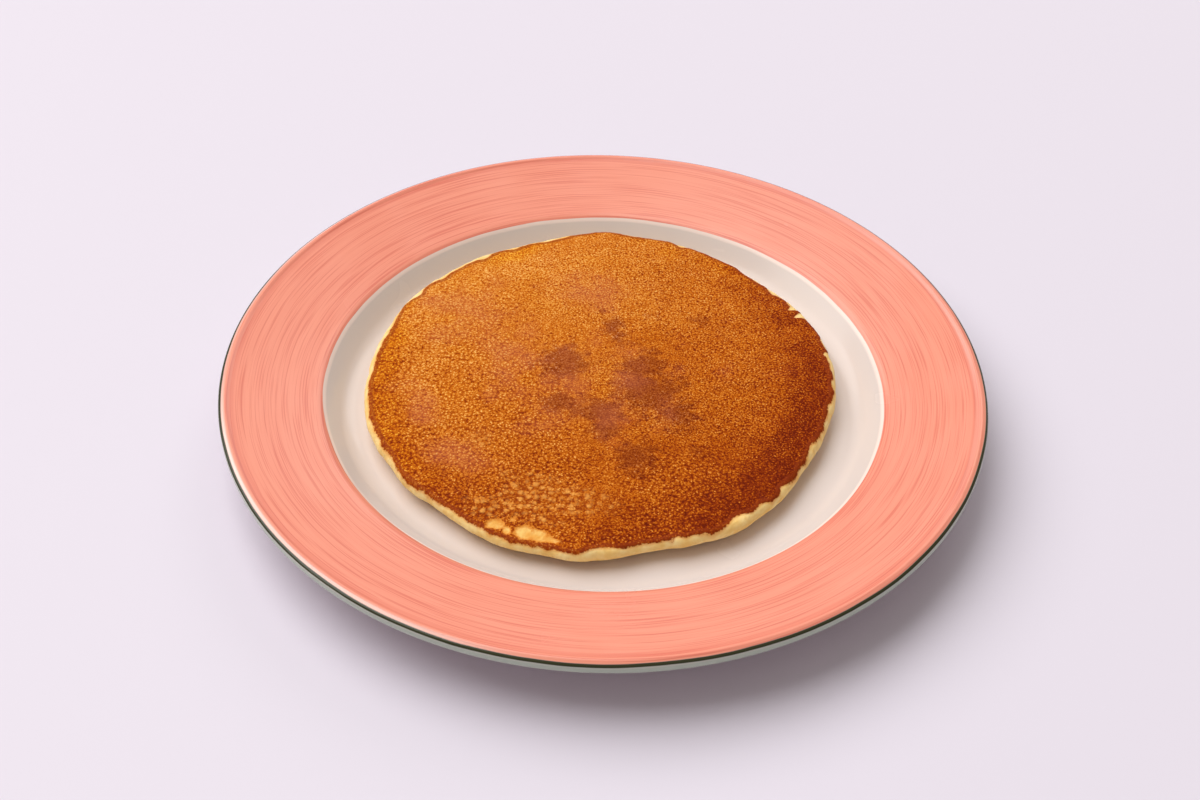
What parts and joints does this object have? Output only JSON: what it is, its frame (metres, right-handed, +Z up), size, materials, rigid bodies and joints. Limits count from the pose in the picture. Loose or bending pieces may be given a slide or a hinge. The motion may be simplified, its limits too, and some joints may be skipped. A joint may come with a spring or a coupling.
{
  "type": "plated pancake",
  "caption": "Thick round griddle pancake with a browned, lightly domed top and pale side, lying in the well of a wide-rimmed dinner plate with a brushed colour band.",
  "frame": {"origin": "middle of the plate's foot, on the surface that it stands on", "axes": "+Z up; +Y away from the viewer of the picture; +X to that viewer's right"},
  "size_m": [0.271, 0.271, 0.0225],
  "materials": {
    "glaze": "glossy glazed stoneware with a brushed pink band, a cream well and a dark green edge line",
    "crust": "browned griddle crust with a pale soft side"
  },
  "bodies": {
    "root": {"plate": "glaze", "pancake": "crust"}
  },
  "joints": []
}
